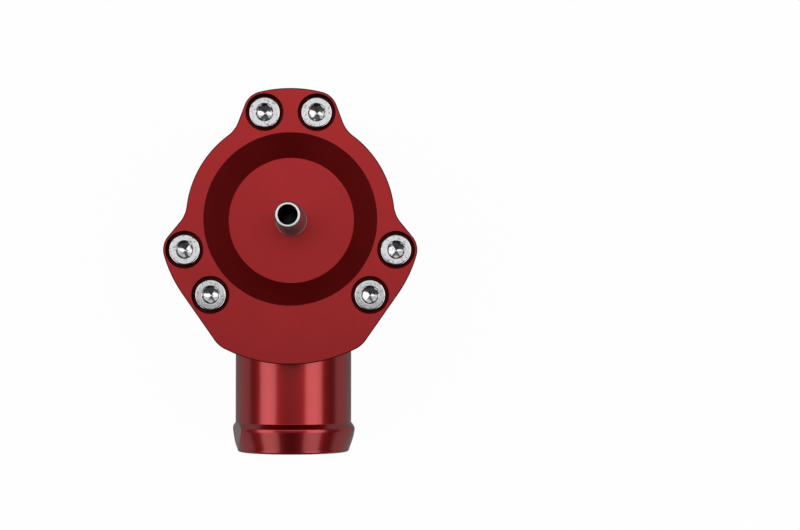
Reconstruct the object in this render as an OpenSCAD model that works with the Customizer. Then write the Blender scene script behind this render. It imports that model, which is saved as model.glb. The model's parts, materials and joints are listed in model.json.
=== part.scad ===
// Piston blow off valve: a lobed billet housing with a dished cap, a side outlet for a hose
// and a vacuum nipple. The base face lies at z = 0, the valve axis is Z and the outlet is at -Y.

/* [Housing outline] */
// Metal between the flow chamber and the round waist of the housing
body_wall = 5.5; // [4.5:0.1:6.5]
// Half of the angle between the two screws of a lobe
pair_half_angle = 13.7; // [12.5:0.1:15.5]
// Metal outside the recess of each screw head
lobe_wall = 0.6; // [0.4:0.1:2]
// Angle from the middle of a lobe to the normal of its flank
flank_angle = 69.5; // [62:0.5:74]
// Radius of the hollow blend between a lobe and the waist
blend_r = 8; // [5:0.5:10]
// How far the apron over the outlet stands out past the lobes
apron_step = 3.8; // [2:0.1:6]
// Half of the angle that the apron covers
apron_half_angle = 26.6; // [24:0.1:30]
// Rounding of the apron's two corners
apron_corner_r = 7.5; // [3:0.5:10]

/* [Cap] */
// Thickness of the cap's flange
cap_t = 9; // [8.5:0.1:12]
// Depth of the dish in the cap's face
dish_depth = 7.5; // [6:0.1:8.5]
// Run of the dish's sloping wall from its rim to its flat floor
dish_run = 6.27; // [4:0.1:8]
// Land between the dish's rim and the recesses of the screw heads
rim_land = 1.13; // [0.8:0.01:3]
// Depth of the round register that centres the cap in the chamber
register_h = 2; // [1:0.1:3]
// Inside diameter of the sleeve that guides the piston
sleeve_d = 32; // [29:0.5:35]
// Wall of the guide sleeve
sleeve_wall = 2.5; // [2:0.1:3]
// Length of the guide sleeve below the register
sleeve_len = 17.5; // [15:0.5:20]

/* [Body] */
// Gap for the flow between the guide sleeve and the chamber's wall
flow_gap = 4; // [3:0.1:5]
// Thickness of the base around the inlet
base_t = 4; // [3.5:0.1:5]
// Height of the seat's lip above the chamber's floor
seat_h = 1.5; // [1:0.1:2.5]
// Width of the seat's lip
seat_w = 2.2; // [1.9:0.1:2.6]
// How much the guide sleeve's radius exceeds the inlet's
seat_step = 3.5; // [3.2:0.1:5]
// Metal under the outlet's threaded bore
port_floor = 3.25; // [2.5:0.05:6]
// Metal over the outlet's threaded bore
port_roof = 1.75; // [1.7:0.05:5]

/* [Outlet tube] */
// Outside diameter of the outlet tube
tube_od = 32.4; // [28:0.1:33]
// Wall of the outlet tube
tube_wall = 2.2; // [2:0.1:3]
// Length of the tube outside the apron
tube_out = 24.8; // [18:0.1:40]
// Depth of the tube in the body
tube_seat = 11; // [8:0.5:13]
// Diameter of the hose bead
bead_d = 35.2; // [34:0.1:37]
// Length of the bead from its step to the tube's end
bead_len = 8.2; // [6:0.1:10]
// Length of the bead's step from the tube to the crest
bead_rise = 1.3; // [0.8:0.1:2.5]
// Width of the bead's round crest
bead_crest = 0.8; // [0.4:0.1:2]
// How far the bead's lead-in ends inside the tube's outside
bead_lead = 0.5; // [0:0.05:0.8]
// Rounding of the tube's end
tube_end_r = 0.9; // [0.5:0.1:1.2]
// Width across the two wrench flats on the bead
flats_across = 32; // [31.5:0.1:33]
// Angle by which the wrench flats are turned about the tube
flats_turn = 12.3; // [-45:0.1:45]

/* [Piston] */
// Lift of the piston from closed to full open
lift = 8.5; // [6:0.1:9]
// Space left above the piston at full open
stop_gap = 0.5; // [0.3:0.1:1.5]
// Wall of the piston around the spring's pocket
piston_wall = 3.35; // [3:0.05:4]
// Thickness of the piston's floor
piston_floor = 3.4; // [3:0.1:5]
// Chamfer around the piston's nose
nose_chamfer = 0.8; // [0.3:0.1:0.9]
// Distance from the piston's top to its o-ring groove
ring_drop = 2; // [1.5:0.1:3]
// Land between the piston's o-ring groove and its guide ring groove
ring_land = 1.2; // [1:0.1:1.5]
// Height of the guide ring
guide_h = 2; // [1.5:0.1:2.5]
// Thickness of the guide ring
guide_t = 1; // [0.8:0.1:1.2]

/* [Spring] */
// Diameter of the spring's wire
wire_d = 1.8; // [1.4:0.1:2]
// Turns of the spring, with its two closed ends
spring_turns = 7; // [5:0.5:8]
// Space between the spring and the wall of its pocket
spring_gap = 1.6; // [0.8:0.1:2]
// Thickness of the shim between the spring and the cap
shim_t = 0.8; // [0.5:0.1:1.5]
// Height of the bosses that centre the spring
boss_h = 1.6; // [1:0.1:2]

/* [Seals] */
// Cord of the o-ring between the cap and the body
cap_cord = 1.9; // [1.6:0.1:2.1]
// Land between the chamber and the cap's o-ring groove
cap_ring_land = 1.1; // [0.8:0.1:2]
// Land between the cap's o-ring groove and the screw holes
bolt_land = 0.95; // [0.6:0.05:2]
// Cord of the o-ring in the base
base_cord = 2.4; // [2:0.1:2.8]
// Land between the inlet and the base's o-ring groove
base_ring_land = 2.9; // [2:0.1:4]
// Cord of the o-ring on the piston
piston_cord = 1.9; // [1.6:0.1:2.1]
// Cord of the o-ring on the outlet tube
tube_cord = 1.5; // [1.2:0.1:1.6]
// Distance from the tube's inner end to its o-ring groove
tube_ring_drop = 2; // [1.5:0.1:4]
// Width of the seal in the piston's nose
seal_w = 1.6; // [1.2:0.1:1.7]
// Depth of the groove for the nose seal
seal_depth = 1.2; // [0.8:0.1:1.6]
// How far the nose seal stands out of the piston
seal_proud = 0.4; // [0.2:0.05:0.8]
// Share of an o-ring's cord that is left when it is squeezed
squeeze = 0.8; // [0.75:0.01:0.9]

/* [Screws] */
// Diameter of the screws
screw_d = 5; // [4.5:0.1:5.2]
// Pitch diameter of the thread, which the screws' reduced shanks have too
thread_d = 4.48; // [4:0.02:4.5]
// Diameter of the screw heads
head_d = 8.5; // [8:0.1:9]
// Height of the screw heads
head_h = 5; // [4:0.1:5.2]
// Rounding of the screw heads' upper edge
head_round = 0.5; // [0.2:0.1:0.9]
// Width across the flats of the hexagon sockets
hex_across = 4; // [3:0.1:4.5]
// Depth of the hexagon sockets
hex_depth = 2.5; // [2:0.1:3.5]
// Gap around a screw head in its recess
head_gap = 0.85; // [0.5:0.05:1.2]
// Depth of the screw heads below the cap's face
head_sink = 0.2; // [0:0.05:0.6]
// Gap around a screw in its plain hole
hole_gap = 0.25; // [0.1:0.05:0.4]
// Length of the screws that hold the cap
cap_screw_len = 16; // [12:1:20]
// Length of the screws that hold the valve
mount_screw_len = 50; // [48:1:60]
// Depth of the tapped holes past the screws' ends
tap_spare = 2.5; // [1:0.5:4]
// Chamfer at the screws' ends
screw_tip = 0.6; // [0.3:0.1:1]

/* [Vacuum nipple] */
// Height of the nipple's tip above the cap's face
nipple_rise = 20; // [14:0.5:25]
// Diameter of the nipple's bore
nipple_bore_d = 4.2; // [3:0.1:4.4]
// Diameter of the nipple at its tip
nipple_tip_d = 6.3; // [6:0.02:6.6]
// Diameter of the nipple's barb
nipple_barb_d = 7.2; // [6.7:0.1:8]
// Length of the barb's taper
nipple_barb_len = 1.6; // [1:0.1:6]
// Diameter of the nipple's neck and of its end in the cap
nipple_neck_d = 6; // [5.6:0.1:6.4]
// Diameter of the collar on the dish's floor
nipple_collar_d = 8.5; // [8:0.1:10]
// Height of the collar
nipple_collar_h = 1.2; // [1:0.1:3]
// Length of the taper from the collar to the neck
nipple_taper_len = 10; // [4:0.5:12]
// How much wider the bore's mouth is at the nipple's tip, on each side
nipple_mouth = 0.53; // [0.2:0.01:0.6]
// Depth of the taper inside the nipple's tip
nipple_mouth_len = 5; // [1:0.1:6]

/* [Fits] */
// Radial gap of parts that stay put: register, threads and pressed ends
fixed_gap = 0.04; // [0.02:0.01:0.1]
// Radial gap between the piston and its sleeve
slide_gap = 0.06; // [0.04:0.01:0.1]
// Gap between the piston's rings and the sleeve
ring_gap = 0.03; // [0.02:0.01:0.04]
// Gap around a ring in its groove
groove_gap = 0.15; // [0.05:0.01:0.3]
// Gap between the closed nose seal and its seat
seat_gap = 0.05; // [0.02:0.01:0.2]

/* [Hidden] */
$fn = 120;
// Overshoot of a cut past the face that it opens
cut = 1;
// Smoothness of the rounded outline's corners
corner_fn = 96;
// Steps in which the ends of a lobe and of the apron are drawn along their arcs
arc_step = 0.125;

lobe_angles = [90, 210, 330];
outlet_angle = -90;
lower_lobes = [for (middle = lobe_angles) if (sin(middle) < 0) middle];

sleeve_r = sleeve_d / 2;
sleeve_out_r = sleeve_r + sleeve_wall;
chamber_r = sleeve_out_r + flow_gap;
waist_r = chamber_r + body_wall;
hole_r = screw_d / 2 + hole_gap;
tapped_r = thread_d / 2 + fixed_gap;
recess_r = head_d / 2 + head_gap;

cap_groove_r = chamber_r + cap_ring_land;
cap_groove_w = cap_cord + 2 * groove_gap;
cap_groove_h = cap_cord * squeeze;
bolt_r = cap_groove_r + cap_groove_w + bolt_land + hole_r;
lobe_corner_r = recess_r + lobe_wall;
apron_r = bolt_r + lobe_corner_r + apron_step;
// Circle around the axis that the two flanks of a lobe touch
flank_r = bolt_r * cos(flank_angle - pair_half_angle) + lobe_corner_r;

tube_r = tube_od / 2;
tube_bore_r = tube_r - tube_wall;
port_r = tube_r + fixed_gap;
outlet_z = port_floor + port_r;
body_h = outlet_z + port_r + port_roof;
tube_start = apron_r - tube_seat;
tube_end = apron_r + tube_out;
tube_groove_h = tube_cord * squeeze;
tube_groove_w = tube_cord + 2 * groove_gap;
tube_groove_y = tube_start + tube_ring_drop;

face_z = body_h + cap_t;
dish_z = face_z - dish_depth;
dish_r = bolt_r - recess_r - rim_land;
under_z = body_h - register_h;
sleeve_z = under_z - sleeve_len;
recess_z = face_z - head_sink - head_h;
stud_len = mount_screw_len - recess_z;

inlet_r = sleeve_r - seat_step;
seat_z = base_t + seat_h;
seal_r = inlet_r + seat_w / 2;
base_groove_r = inlet_r + base_ring_land;
base_groove_w = base_cord + 2 * groove_gap;
base_groove_h = base_cord * squeeze;

piston_r = sleeve_r - slide_gap;
ring_r = sleeve_r - ring_gap;
nose_z = seat_z + seat_gap + seal_proud;
piston_top_z = under_z - stop_gap - lift;
pocket_r = piston_r - piston_wall;
pocket_z = nose_z + piston_floor;
piston_groove_h = piston_cord * squeeze;
piston_groove_w = piston_cord + 2 * groove_gap;
piston_groove_z = piston_top_z - ring_drop - piston_groove_w;
guide_groove_w = guide_h + 2 * groove_gap;
guide_groove_z = piston_groove_z - ring_land - guide_groove_w;

coil_r = pocket_r - spring_gap - wire_d / 2;
boss_r = coil_r - wire_d / 2 - groove_gap;
shim_z = under_z - shim_t;
spring_len = shim_z - pocket_z;
// Share of the wire that is ground away at the spring's two flat ends
ground_share = 0.2;
// Rise of a closed end turn, as a share of the wire
closed_rise = 1.06;
spring_sides = 10;
spring_steps = 24;

nipple_tip_z = face_z + nipple_rise;
nipple_hole_r = nipple_neck_d / 2 + fixed_gap;

// Round pieces

// A ring around Z whose section fills the given radii and heights.
module ring(inner, outer, low, high) {
  rotate_extrude()
    translate([inner, low])
      square([outer - inner, high - low]);
}

// An o-ring around Z, squeezed between two radii, with its middle at the given height.
module side_squeezed_ring(cord, inner, outer, middle) {
  rotate_extrude()
    intersection() {
      translate([(inner + outer) / 2, middle])
        circle(d = cord);
      translate([inner, middle - cord])
        square([outer - inner, 2 * cord]);
    }
}

// An o-ring around Z, squeezed between two heights, with its middle at the given radius.
module face_squeezed_ring(cord, radius, low, high) {
  rotate_extrude()
    intersection() {
      translate([radius, (low + high) / 2])
        circle(d = cord);
      translate([radius - cord, low])
        square([2 * cord, high - low]);
    }
}

// Housing outline

// A row of round corners along an arc about the axis.
module corner_row(middle, half_angle, radius, corner) {
  for (share = [-1 : arc_step : 1])
    rotate(middle + share * half_angle)
      translate([radius, 0])
        circle(r = corner, $fn = corner_fn);
}

// One lobe: an arc over its two screws, with flanks that spread towards the axis.
module lobe(middle) {
  hull() {
    circle(r = flank_r);
    corner_row(middle, pair_half_angle, bolt_r, lobe_corner_r);
  }
}

// The apron over the outlet, with straight sides that touch the two lower lobes.
module apron() {
  hull() {
    for (middle = lower_lobes)
      corner_row(middle, pair_half_angle, bolt_r, lobe_corner_r);
    corner_row(outlet_angle, apron_half_angle, apron_r - apron_corner_r, apron_corner_r);
  }
}

// The outline that the cap and the body share, with hollow blends beside the lobes.
module housing_outline() {
  offset(r = -blend_r)
    offset(delta = blend_r)
      union() {
        circle(r = waist_r);
        for (middle = lobe_angles)
          lobe(middle);
        apron();
      }
}

// Places its children on the screws of each lobe at one side of the lobe's middle.
module at_screws(side) {
  for (middle = lobe_angles)
    rotate(middle + side * pair_half_angle)
      translate([bolt_r, 0, 0])
        children();
}

// Turns a shape that runs along Z so that it runs out of the outlet.
module along_outlet() {
  translate([0, 0, outlet_z])
    rotate([90, 0, 0])
      children();
}

// Housing

module valve_body() {
  color([0.60, 0.09, 0.11])
  difference() {
    union() {
      difference() {
        linear_extrude(body_h)
          housing_outline();
        translate([0, 0, base_t])
          cylinder(r = chamber_r, h = body_h);
      }
      ring(inlet_r - cut, inlet_r + seat_w, base_t - cut, seat_z);
    }
    translate([0, 0, -cut])
      cylinder(r = inlet_r, h = seat_z + 2 * cut);
    along_outlet() {
      translate([0, 0, sleeve_out_r])
        cylinder(r = tube_bore_r, h = tube_start);
      translate([0, 0, tube_start])
        cylinder(r = port_r, h = tube_seat + cut);
    }
    ring(base_groove_r, base_groove_r + base_groove_w, -cut, base_groove_h);
    ring(cap_groove_r, cap_groove_r + cap_groove_w, body_h - cap_groove_h, body_h + cut);
    at_screws(-1)
      tapped_hole();
    at_screws(1)
      translate([0, 0, -cut])
        cylinder(r = hole_r, h = body_h + 2 * cut);
  }
}

// A blind hole from the body's top, with the cone that a drill leaves.
module tapped_hole() {
  depth = cap_screw_len - (recess_z - body_h) + tap_spare;
  translate([0, 0, body_h - depth])
    cylinder(r = tapped_r, h = depth + cut);
  translate([0, 0, body_h - depth - tapped_r / 2])
    cylinder(r1 = 0, r2 = tapped_r, h = tapped_r / 2);
}

module cap() {
  dish_slope = dish_run / dish_depth;
  color([0.62, 0.10, 0.12])
  difference() {
    union() {
      translate([0, 0, body_h])
        linear_extrude(cap_t)
          housing_outline();
      translate([0, 0, under_z])
        cylinder(r = chamber_r - fixed_gap, h = register_h + cut);
      ring(sleeve_r, sleeve_out_r, sleeve_z, under_z + cut);
      translate([0, 0, under_z - boss_h])
        cylinder(r = boss_r, h = boss_h + cut);
    }
    translate([0, 0, dish_z])
      cylinder(r1 = dish_r - dish_run, r2 = dish_r + cut * dish_slope, h = dish_depth + cut);
    translate([0, 0, under_z - boss_h - cut])
      cylinder(r = nipple_hole_r, h = face_z);
    for (side = [-1, 1])
      at_screws(side) {
        translate([0, 0, recess_z])
          cylinder(r = recess_r, h = head_h + head_sink + cut);
        translate([0, 0, body_h - cut])
          cylinder(r = hole_r, h = cap_t);
      }
  }
}

module outlet_tube() {
  bead_r = bead_d / 2;
  lead_r = tube_r - bead_lead;
  step_y = tube_end - bead_len;
  crest_y = step_y + bead_rise;
  color([0.66, 0.13, 0.14])
  along_outlet()
    difference() {
      rotate_extrude()
        difference() {
          union() {
            polygon([
              [tube_bore_r, tube_start],
              [tube_r, tube_start],
              [tube_r, step_y],
              [bead_r, crest_y],
              [bead_r, crest_y + bead_crest],
              [lead_r, tube_end - tube_end_r],
              [lead_r - tube_end_r, tube_end - tube_end_r],
              [lead_r - tube_end_r, tube_end],
              [tube_bore_r, tube_end]
            ]);
            translate([lead_r - tube_end_r, tube_end - tube_end_r])
              circle(r = tube_end_r);
          }
          translate([tube_r - tube_groove_h, tube_groove_y])
            square([tube_groove_h + cut, tube_groove_w]);
        }
      for (side = [0, 180])
        rotate(side - flats_turn)
          translate([flats_across / 2, -bead_d / 2, step_y])
            cube([bead_d, bead_d, bead_len + cut]);
    }
}

module outlet_o_ring() {
  color([0.07, 0.07, 0.07])
  along_outlet()
    side_squeezed_ring(tube_cord, tube_r - tube_groove_h + fixed_gap, tube_r,
      tube_groove_y + tube_groove_w / 2);
}

module vacuum_nipple() {
  neck_r = nipple_neck_d / 2;
  tip_r = nipple_tip_d / 2;
  barb_r = nipple_barb_d / 2;
  collar_r = nipple_collar_d / 2;
  bore_r = nipple_bore_d / 2;
  barb_z = nipple_tip_z - nipple_barb_len;
  collar_top = dish_z + nipple_collar_h;
  color([0.75, 0.75, 0.77])
  rotate_extrude()
    polygon([
      [bore_r, under_z],
      [neck_r, under_z],
      [neck_r, dish_z],
      [collar_r, dish_z],
      [collar_r, collar_top],
      [neck_r, collar_top + nipple_taper_len],
      [neck_r, barb_z - (barb_r - neck_r)],
      [barb_r, barb_z],
      [tip_r, nipple_tip_z],
      [bore_r + nipple_mouth, nipple_tip_z],
      [bore_r, nipple_tip_z - nipple_mouth_len]
    ]);
}

// Piston

module piston() {
  seal_inner = seal_r - seal_w / 2 - fixed_gap;
  seal_outer = seal_r + seal_w / 2 + fixed_gap;
  color([0.80, 0.80, 0.82])
  difference() {
    rotate_extrude()
      polygon([
        [0, nose_z],
        [piston_r - nose_chamfer, nose_z],
        [piston_r, nose_z + nose_chamfer],
        [piston_r, piston_top_z],
        [pocket_r, piston_top_z],
        [pocket_r, pocket_z],
        [boss_r, pocket_z],
        [boss_r, pocket_z + boss_h],
        [0, pocket_z + boss_h]
      ]);
    ring(seal_inner, seal_outer, nose_z - cut, nose_z + seal_depth);
    ring(piston_r - piston_groove_h, piston_r + cut,
      piston_groove_z, piston_groove_z + piston_groove_w);
    ring(ring_r - guide_t - fixed_gap, piston_r + cut,
      guide_groove_z, guide_groove_z + guide_groove_w);
  }
}

module piston_o_ring() {
  color([0.06, 0.06, 0.06])
  side_squeezed_ring(piston_cord, piston_r - piston_groove_h + fixed_gap, ring_r,
    piston_groove_z + piston_groove_w / 2);
}

module piston_guide_ring() {
  color([0.90, 0.89, 0.86])
  ring(ring_r - guide_t, ring_r,
    guide_groove_z + groove_gap, guide_groove_z + groove_gap + guide_h);
}

module seat_seal() {
  color([0.10, 0.10, 0.10])
  ring(seal_r - seal_w / 2, seal_r + seal_w / 2, nose_z - seal_proud, nose_z + seal_depth);
}

// Spring

// Height of the wire's middle after the given turns: closed ends and an even pitch between them.
function coil_height(turn) =
  let (
    first = wire_d * (0.5 - ground_share),
    closed = wire_d * closed_rise,
    pitch = (spring_len - 2 * (first + closed)) / (spring_turns - 2)
  )
  turn < 1 ? first + closed * turn
  : turn < spring_turns - 1 ? first + closed + pitch * (turn - 1)
  : spring_len - first - closed * (spring_turns - turn);

// A point on the wire's skin, held between the two flat ground ends.
function coil_point(turn, side) =
  let (
    around = 90 + 360 * side / spring_sides,
    radius = coil_r + wire_d / 2 * cos(around),
    height = coil_height(turn) + wire_d / 2 * sin(around)
  )
  [
    radius * cos(360 * turn),
    radius * sin(360 * turn),
    max(0, min(spring_len, height))
  ];

module spring() {
  last = spring_turns * spring_steps;
  points = [
    for (step = [0 : last])
      for (side = [0 : spring_sides - 1])
        coil_point(step / spring_steps, side)
  ];
  skin = [
    for (step = [0 : last - 1])
      for (side = [0 : spring_sides - 1])
        let (
          here = step * spring_sides,
          next = (side + 1) % spring_sides
        )
        each [
          [here + side, here + next, here + spring_sides + side],
          [here + next, here + spring_sides + next, here + spring_sides + side]
        ]
  ];
  // Each end face starts at the point of the wire that isn't ground flat.
  low_end = [for (side = [0 : spring_sides - 1]) (spring_sides - side) % spring_sides];
  high_end = [
    for (side = [0 : spring_sides - 1])
      last * spring_sides + (side + spring_sides / 2) % spring_sides
  ];
  color([0.70, 0.70, 0.72])
  translate([0, 0, pocket_z])
    polyhedron(points = points, faces = concat(skin, [low_end], [high_end]));
}

module spring_shim() {
  color([0.74, 0.74, 0.75])
  ring(boss_r + groove_gap, pocket_r - spring_gap / 2, shim_z, under_z);
}

// Seals of the housing

module cap_o_ring() {
  color([0.07, 0.07, 0.07])
  face_squeezed_ring(cap_cord, cap_groove_r + cap_groove_w / 2,
    body_h - cap_groove_h, body_h - fixed_gap);
}

module base_o_ring() {
  color([0.07, 0.07, 0.07])
  face_squeezed_ring(base_cord, base_groove_r + base_groove_w / 2,
    base_groove_h - base_cord, base_groove_h - fixed_gap);
}

// Screws

// A socket head screw with the seat of its head at z = 0 and its end at -length.
// The last stretch of it is free thread at the full diameter.
module socket_screw(length, free_len) {
  head_r = head_d / 2;
  shank_r = thread_d / 2;
  end_r = free_len > 0 ? screw_d / 2 : shank_r;
  difference() {
    rotate_extrude()
      union() {
        polygon([
          [0, -length],
          [end_r - screw_tip, -length],
          [end_r, screw_tip - length],
          if (free_len > 0) [end_r, free_len - length],
          [shank_r, max(free_len, screw_tip) - length],
          [shank_r, 0],
          [head_r, 0],
          [head_r, head_h - head_round],
          [head_r - head_round, head_h - head_round],
          [head_r - head_round, head_h],
          [0, head_h]
        ]);
        translate([head_r - head_round, head_h - head_round])
          circle(r = head_round);
      }
    translate([0, 0, head_h - hex_depth])
      rotate(30)
        cylinder(d = hex_across / cos(30), h = hex_depth + cut, $fn = 6);
  }
}

module cap_screws() {
  color([0.82, 0.82, 0.84])
  at_screws(-1)
    translate([0, 0, recess_z])
      socket_screw(cap_screw_len, 0);
}

module mount_screws() {
  color([0.82, 0.82, 0.84])
  at_screws(1)
    translate([0, 0, recess_z])
      socket_screw(mount_screw_len, stud_len);
}

valve_body();
cap();
outlet_tube();
outlet_o_ring();
vacuum_nipple();
piston();
piston_o_ring();
piston_guide_ring();
seat_seal();
spring();
spring_shim();
cap_o_ring();
base_o_ring();
cap_screws();
mount_screws();
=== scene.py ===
"""Looks of a piston blow off valve: machined housing, turned tube, bright screws and moving piston."""

import json
import math

import bmesh
import bpy
import numpy as np
from bpy.props import FloatProperty, FloatVectorProperty, IntProperty, PointerProperty
from mathutils import Matrix, Vector


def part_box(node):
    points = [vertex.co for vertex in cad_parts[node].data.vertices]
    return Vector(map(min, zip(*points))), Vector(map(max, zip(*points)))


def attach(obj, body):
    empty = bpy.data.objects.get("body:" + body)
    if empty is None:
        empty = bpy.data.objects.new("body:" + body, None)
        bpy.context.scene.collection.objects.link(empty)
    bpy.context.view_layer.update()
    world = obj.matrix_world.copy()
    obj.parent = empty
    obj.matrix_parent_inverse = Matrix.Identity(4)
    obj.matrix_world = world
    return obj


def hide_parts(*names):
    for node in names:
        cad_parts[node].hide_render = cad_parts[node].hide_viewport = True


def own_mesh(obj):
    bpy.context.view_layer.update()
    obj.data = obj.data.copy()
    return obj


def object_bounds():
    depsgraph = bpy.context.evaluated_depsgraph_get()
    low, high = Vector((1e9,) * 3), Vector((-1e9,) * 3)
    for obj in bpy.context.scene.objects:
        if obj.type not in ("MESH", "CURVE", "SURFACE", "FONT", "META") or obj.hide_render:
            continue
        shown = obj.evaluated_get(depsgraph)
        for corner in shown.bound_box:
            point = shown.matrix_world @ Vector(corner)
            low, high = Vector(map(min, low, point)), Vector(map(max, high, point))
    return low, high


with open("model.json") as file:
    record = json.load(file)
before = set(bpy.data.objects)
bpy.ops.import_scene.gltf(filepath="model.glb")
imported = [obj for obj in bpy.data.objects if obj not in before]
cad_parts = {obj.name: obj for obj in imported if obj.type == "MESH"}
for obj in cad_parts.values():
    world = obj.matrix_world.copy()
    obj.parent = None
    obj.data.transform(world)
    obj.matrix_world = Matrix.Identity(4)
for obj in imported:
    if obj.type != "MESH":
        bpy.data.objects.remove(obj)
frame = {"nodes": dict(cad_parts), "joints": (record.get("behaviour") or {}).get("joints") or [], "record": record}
cad_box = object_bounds()

bl_info = {
    "name": "Piston blow off valve",
    "version": (1, 0, 0),
    "blender": (4, 5, 0),
    "location": "3D View > Sidebar > Valve",
    "description": "Dresses the packed valve with machined, turned and moulded pieces",
    "category": "Object",
}

MM = 0.001
FULL_TURN = 2 * math.pi
WHITE = (1.0, 1.0, 1.0, 1.0)
RECORD = frame["record"]
MOUNTS = {mount["name"]: mount for mount in RECORD["mounts"]}
LIFT = next(joint for joint in frame["joints"] if joint["name"] == "piston_lift")


def low(node, axis):
    """Lowest coordinate of a CAD node along one axis, in millimetres."""
    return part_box(node)[0][axis] / MM


def high(node, axis):
    """Highest coordinate of a CAD node along one axis, in millimetres."""
    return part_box(node)[1][axis] / MM


OUTLET_Z = MOUNTS["outlet_bore"]["pos_m"][2] / MM
SCREW_CIRCLE_R = MOUNTS["base_studs"]["dims"]["pcd_mm"] / 2
LOBE_ANGLES = (90.0, 210.0, 330.0)

# Sizes in millimetres. A recess reaches just past its own radius, so that its rim counts with it.
HEAD_R = 4.25
HEAD_H = 5.0
SHANK_R = 2.24
THREAD_R = 2.5
RECESS_REACH = 5.3
NIPPLE_BORE_R = 2.1
NIPPLE_MOUTH_R = 2.63
NIPPLE_STEM_R = 3.0
NIPPLE_COLLAR_R = 4.25

# Widths in metres of the chamfers on the smaller copied pieces.
SHIM_EDGE = 0.08 * MM
PISTON_EDGE = 0.15 * MM
MOULDED_EDGE = 0.1 * MM

# Distances in metres below which points are merged and slivers taken out.
CAD_WELD = 0.002 * MM
GRID_WELD = 0.0005 * MM
GRID_SLIVER = 0.0002 * MM

# Turns in degrees from face to face: flat faces are joined, square edges get a chamfer, and the
# shading is smooth below the last three.
FLAT_TURN = 0.4
SQUARE_TURN = 60.0
MACHINED_SMOOTH = 25.0
GRID_SMOOTH = 30.0
TUBE_SMOOTH = 6.5

# How finely the grids are divided: degrees of an arc, rows of a pitch and of a coil, columns of a tooth.
ARC_STEP = 5.5
ROWS_PER_PITCH = 12
ROWS_PER_COIL = 60
COLUMNS_PER_TOOTH = 3

# Shares of the painted shade attribute, which darkens the colour where shade falls: in the screw recesses, along
# chamfers that face up and on the knurled sides of the screw heads. Also how far a chamfer has to face up to get
# its own.
RECESS_PAINTED_SHADE = 0.7
CHAMFER_PAINTED_SHADE = 0.9
KNURL_PAINTED_SHADE = 0.8
FACING_UP = 0.3

# Turns of the screws about their own axes, in radians: the first, then more for each lobe and side.
FIRST_TWIST = 0.35
LOBE_TWIST = 1.1
SIDE_TWIST = 0.6


class ValveSizes(bpy.types.PropertyGroup):
    """Fine shapes of the pieces."""

    edge: FloatProperty(
        name="Machined edge",
        description="Width of the small chamfer on machined edges",
        default=0.28 * MM,
        min=0.05 * MM,
        max=0.28 * MM,
        subtype="DISTANCE",
    )
    edge_steps: IntProperty(
        name="Edge steps",
        description="Faces across each machined edge",
        default=1,
        min=1,
        max=6,
    )
    bead_round: FloatProperty(
        name="Bead rounding",
        description="Radius that rounds the crest of the tube's bead",
        default=0.6 * MM,
        min=0.2 * MM,
        max=1.2 * MM,
        subtype="DISTANCE",
    )
    flats: FloatProperty(
        name="Wrench flats",
        description="Width across the two wrench flats on the tube's bead",
        default=32.0 * MM,
        min=31.0 * MM,
        max=35.0 * MM,
        subtype="DISTANCE",
    )
    flats_turn: FloatProperty(
        name="Turn of the flats",
        description="How far the wrench flats are turned about the tube",
        default=math.radians(12.3),
        subtype="ANGLE",
    )
    thread_pitch: FloatProperty(
        name="Thread pitch",
        description="Pitch of the screw threads",
        default=0.8 * MM,
        min=0.4 * MM,
        max=1.2 * MM,
        subtype="DISTANCE",
    )
    thread_length: FloatProperty(
        name="Thread length",
        description="Length of the thread on the free ends of the long screws",
        default=-low("mount_screws", 2) * MM,
        min=4.0 * MM,
        max=20.0 * MM,
        subtype="DISTANCE",
    )
    knurl_depth: FloatProperty(
        name="Knurl depth",
        description="Depth of the knurl on the screw heads",
        default=0.12 * MM,
        min=0.0,
        max=0.3 * MM,
        subtype="DISTANCE",
    )
    pair_half_angle: FloatProperty(
        name="Screw pair angle",
        description="Half of the angle between the two screws of a lobe",
        default=math.radians(13.7),
        subtype="ANGLE",
    )
    spring_turns: FloatProperty(
        name="Spring turns",
        description="Turns of the spring with its two closed ends",
        default=7.0,
        min=4.0,
        max=9.0,
    )
    wire: FloatProperty(
        name="Spring wire",
        description="Diameter of the spring wire",
        default=1.8 * MM,
        min=1.0 * MM,
        max=2.0 * MM,
        subtype="DISTANCE",
    )


class ValveFinish(bpy.types.PropertyGroup):
    """Colours of the finishes."""

    housing_red: FloatVectorProperty(
        name="Housing red",
        description="Dye colour of the blasted and anodised housing",
        default=(0.50, 0.016, 0.019),
        size=3,
        subtype="COLOR",
        min=0.0,
        max=1.0,
    )
    tube_red: FloatVectorProperty(
        name="Tube red",
        description="Dye colour of the turned and anodised tube",
        default=(0.44, 0.012, 0.015),
        size=3,
        subtype="COLOR",
        min=0.0,
        max=1.0,
    )
    steel: FloatVectorProperty(
        name="Bright steel",
        description="Colour of the screws",
        default=(0.70, 0.70, 0.72),
        size=3,
        subtype="COLOR",
        min=0.0,
        max=1.0,
    )
    nipple: FloatVectorProperty(
        name="Nipple steel",
        description="Colour of the vacuum nipple",
        default=(0.25, 0.25, 0.26),
        size=3,
        subtype="COLOR",
        min=0.0,
        max=1.0,
    )
    piston_metal: FloatVectorProperty(
        name="Piston metal",
        description="Colour of the turned piston",
        default=(0.72, 0.72, 0.73),
        size=3,
        subtype="COLOR",
        min=0.0,
        max=1.0,
    )
    wire: FloatVectorProperty(
        name="Spring wire",
        description="Colour of the drawn wire and of the shim",
        default=(0.42, 0.42, 0.44),
        size=3,
        subtype="COLOR",
        min=0.0,
        max=1.0,
    )
    rubber: FloatVectorProperty(
        name="Rubber",
        description="Colour of the seals",
        default=(0.018, 0.018, 0.019),
        size=3,
        subtype="COLOR",
        min=0.0,
        max=1.0,
    )
    plastic: FloatVectorProperty(
        name="Bearing plastic",
        description="Colour of the guide ring",
        default=(0.72, 0.70, 0.64),
        size=3,
        subtype="COLOR",
        min=0.0,
        max=1.0,
    )


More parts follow.
